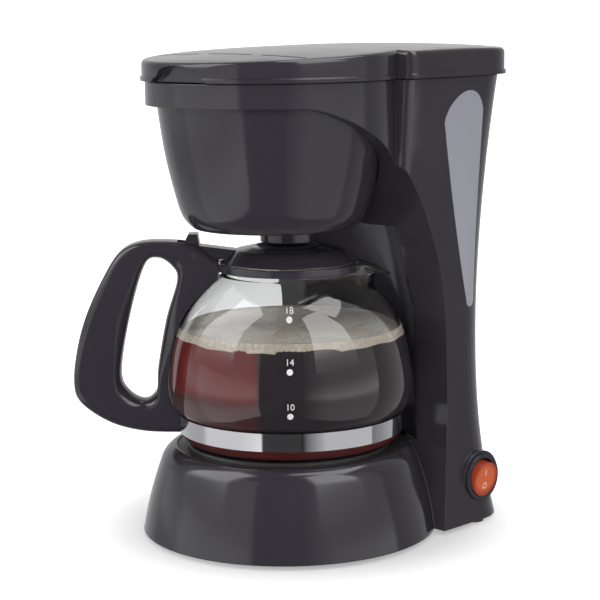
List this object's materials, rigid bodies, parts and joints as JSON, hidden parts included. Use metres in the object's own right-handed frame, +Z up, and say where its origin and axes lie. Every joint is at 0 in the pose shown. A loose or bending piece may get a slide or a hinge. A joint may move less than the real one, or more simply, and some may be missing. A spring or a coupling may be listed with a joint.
{
  "type": "drip coffee maker",
  "caption": "Countertop drip coffee maker: round base with a warming plate, tank tower with side windows, hinged lid, filter basket with drip valve, and a glass carafe with a lidded handle.",
  "frame": {"origin": "on the warming plate's vertical axis, at the counter that the feet stand on", "axes": "+Z up; -Y is the front, where the carafe slides out; +X is the right hand of someone facing the front, the switch's side"},
  "size_m": [0.1684, 0.2067, 0.262],
  "materials": {
    "gloss_black": "glossy black moulded plastic",
    "black_plastic": "satin black moulded plastic",
    "silicone": "pale silicone rubber",
    "steel": "plain bright steel",
    "mesh": "fine woven filter mesh on a frame",
    "tank_window": "grey translucent moulded plastic",
    "white_plastic": "plain white plastic",
    "plate_coating": "black non-stick coating on pressed steel",
    "aluminium": "extruded aluminium",
    "brass": "plain brass",
    "lamp_glass": "small glass lamp",
    "orange_rocker": "translucent orange rocker",
    "rubber": "black rubber",
    "carafe_glass": "clear blown glass",
    "band_steel": "polished steel strip"
  },
  "bodies": {
    "machine": {"base_housing": "gloss_black", "upper_housing": "gloss_black", "bottom_cover": "black_plastic", "brew_bowl": "gloss_black", "lid_hinge_pin": "steel", "tank_window_right": "tank_window", "tank_window_left": "tank_window", "riser_tube": "white_plastic", "riser_grommet": "silicone", "water_spout": "white_plastic", "inlet_hose": "silicone", "outlet_hose": "silicone", "warming_plate": "plate_coating", "plate_seal": "silicone", "heater_element": "aluminium", "heater_clamp": "steel", "clamp_nut": "steel", "thermostat": "steel", "thermal_fuse": "white_plastic", "switch_body": "gloss_black", "switch_terminals": "brass", "neon_lamp": "lamp_glass", "rubber_feet": "rubber", "cover_screws": "steel", "tower_screws": "steel", "cord_gland": "black_plastic"},
    "lid": {"top_lid": "gloss_black"},
    "rocker": {"rocker_cap": "orange_rocker"},
    "basket": {"filter_basket": "black_plastic", "mesh_filter": "mesh", "valve_cage": "black_plastic", "valve_spring": "steel"},
    "valve": {"drip_valve": "black_plastic", "valve_seal": "silicone"},
    "carafe": {"carafe_glass": "carafe_glass", "carafe_collar": "gloss_black", "carafe_handle": "gloss_black", "carafe_lid_pin": "steel", "steel_band": "band_steel", "band_screw": "steel"},
    "carafe_lid": {"carafe_lid": "gloss_black"}
  },
  "joints": [
    {"name": "lid_hinge", "type": "hinge", "parent": "machine", "child": "lid", "pos_m": [0, 0.1169, 0.2472], "axis": [-1, 0, 0], "range_deg": [0, 100]},
    {"name": "rocker_tilt", "type": "hinge", "parent": "machine", "child": "rocker", "pos_m": [0.0678, 0.079, 0.0252], "axis": [0, -1, 0], "range_deg": [0, 16]},
    {"name": "basket_lift", "type": "slide", "parent": "machine", "child": "basket", "axis": [0, 0, 1], "range_m": [0, 0.004]},
    {"name": "valve_lift", "type": "slide", "parent": "basket", "child": "valve", "axis": [0, 0, 1], "range_m": [0, 0.004], "stiffness_N_per_m": 60, "springref_m": -0.004, "deforming": ["valve_spring"]},
    {"name": "carafe_slide", "type": "slide", "parent": "machine", "child": "carafe", "axis": [0, -1, 0], "range_m": [0, 0.16]},
    {"name": "carafe_lid_hinge", "type": "hinge", "parent": "carafe", "child": "carafe_lid", "pos_m": [-0.03663, -0.03463, 0.1517], "axis": [0.7071, -0.7071, 0], "range_deg": [0, 2]}
  ]
}
